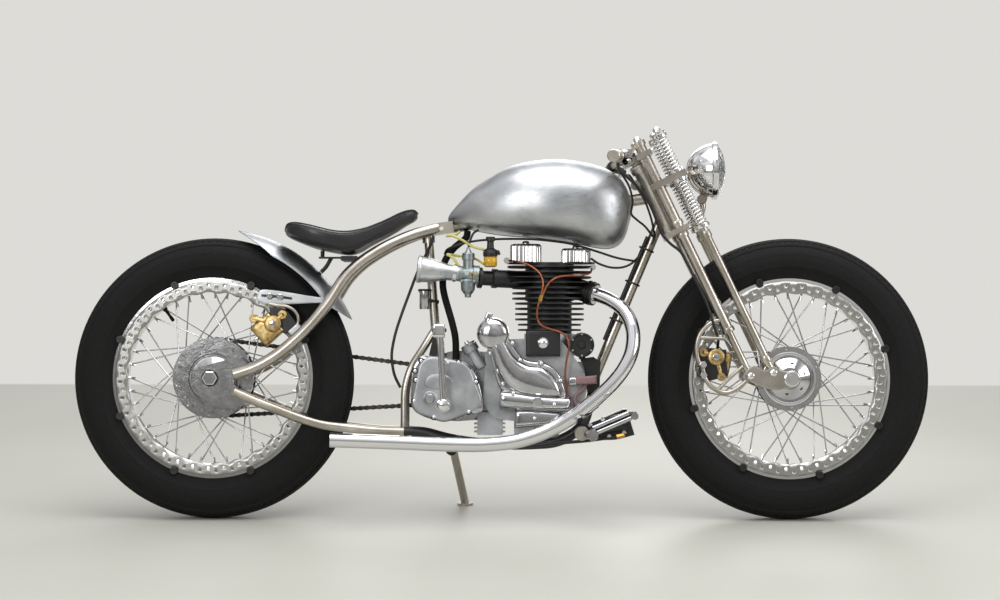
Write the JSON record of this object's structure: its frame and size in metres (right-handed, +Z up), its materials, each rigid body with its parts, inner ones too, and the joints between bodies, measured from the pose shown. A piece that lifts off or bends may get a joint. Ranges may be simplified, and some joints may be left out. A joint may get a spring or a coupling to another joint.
{
  "type": "cafe racer motorcycle",
  "caption": "Custom single-cylinder motorcycle with a rigid rear frame, springer fork, humped metal tank, low saddle, wire wheels and a side stand that it leans on.",
  "frame": {"origin": "on the ground, under the middle of the machine as it leans on its side stand", "axes": "+X towards the front wheel, +Y towards the machine's left, where its side stand is, +Z up"},
  "size_m": [2.105, 0.6612, 0.956],
  "materials": {
    "tyre_rubber": "matte black rubber",
    "chrome": "polished chrome plate",
    "disc_steel": "ground steel",
    "satin_steel": "satin plated steel tube",
    "polished_aluminium": "polished cast aluminium",
    "brushed_aluminium": "hand brushed sheet",
    "black_paint": "satin black paint",
    "black_fins": "matte black heat paint",
    "black_leather": "smooth black leather",
    "gold_metal": "gold anodised metal",
    "lamp_glass": "clear glass",
    "chain_steel": "oiled dark steel",
    "amber_glass": "amber filter glass",
    "copper_pipe": "copper tube",
    "black_sheath": "black cable sheath"
  },
  "bodies": {
    "frame": {"upper_rails": "satin_steel", "lower_rails": "satin_steel", "axle_plates": "satin_steel", "headstock": "satin_steel", "top_tube": "satin_steel", "down_tube": "satin_steel", "seat_tube": "satin_steel", "engine_cradle": "black_paint", "engine_plates": "black_paint", "crankcase": "polished_aluminium", "timing_cover": "polished_aluminium", "tappet_cover": "black_paint", "cylinder_barrel": "black_fins", "cylinder_head": "black_fins", "rocker_covers": "chrome", "gearbox": "polished_aluminium", "kick_lever": "chrome", "primary_chaincase": "polished_aluminium", "carburettor": "polished_aluminium", "intake_trumpet": "polished_aluminium", "fuel_filter": "amber_glass", "exhaust_header": "chrome", "exhaust_pipe": "chrome", "fuel_tank": "brushed_aluminium", "saddle": "black_leather", "saddle_bracket": "satin_steel", "rear_mudguard": "brushed_aluminium", "rear_caliper": "gold_metal", "drive_chain": "chain_steel", "rear_axle": "satin_steel", "foot_controls": "black_paint", "horn": "black_paint", "hoses": "copper_pipe", "wiring_loom": "black_sheath", "breather_hose": "black_sheath", "throttle_cable": "black_sheath"},
    "fork": {"fork_legs": "satin_steel", "spring_legs": "satin_steel", "fork_springs": "chrome", "fork_yokes": "satin_steel", "rockers": "satin_steel", "handlebar": "satin_steel", "headlight": "chrome", "headlight_lens": "lamp_glass", "front_caliper": "gold_metal", "front_axle": "satin_steel", "front_brake_hose": "black_sheath"},
    "front_wheel": {"front_tyre": "tyre_rubber", "front_rim": "chrome", "front_hub": "polished_aluminium", "front_brake_disc": "disc_steel"},
    "rear_wheel": {"rear_tyre": "tyre_rubber", "rear_rim": "chrome", "rear_hub": "polished_aluminium", "rear_brake_disc": "disc_steel", "rear_sprocket": "disc_steel"},
    "side_stand": {"side_stand": "satin_steel"}
  },
  "joints": [
    {"name": "steering", "type": "hinge", "parent": "frame", "child": "fork", "pos_m": [0.42111, -0.02018, 0.70413], "axis": [-0.4321, 0.1099, 0.8951], "range_deg": [-30, 30]},
    {"name": "front_wheel_spin", "type": "hinge", "parent": "fork", "child": "front_wheel", "pos_m": [0.7075, -0.06454, 0.34285], "axis": [0, 0.9925, -0.1219], "continuous": true},
    {"name": "rear_wheel_spin", "type": "hinge", "parent": "frame", "child": "rear_wheel", "pos_m": [-0.7075, -0.06454, 0.34285], "axis": [0, 0.9925, -0.1219], "continuous": true},
    {"name": "side_stand_fold", "type": "hinge", "parent": "frame", "child": "side_stand", "pos_m": [-0.1225, 0.03547, 0.15627], "axis": [0.153, 0.9295, 0.3356], "range_deg": [0, 105]}
  ]
}
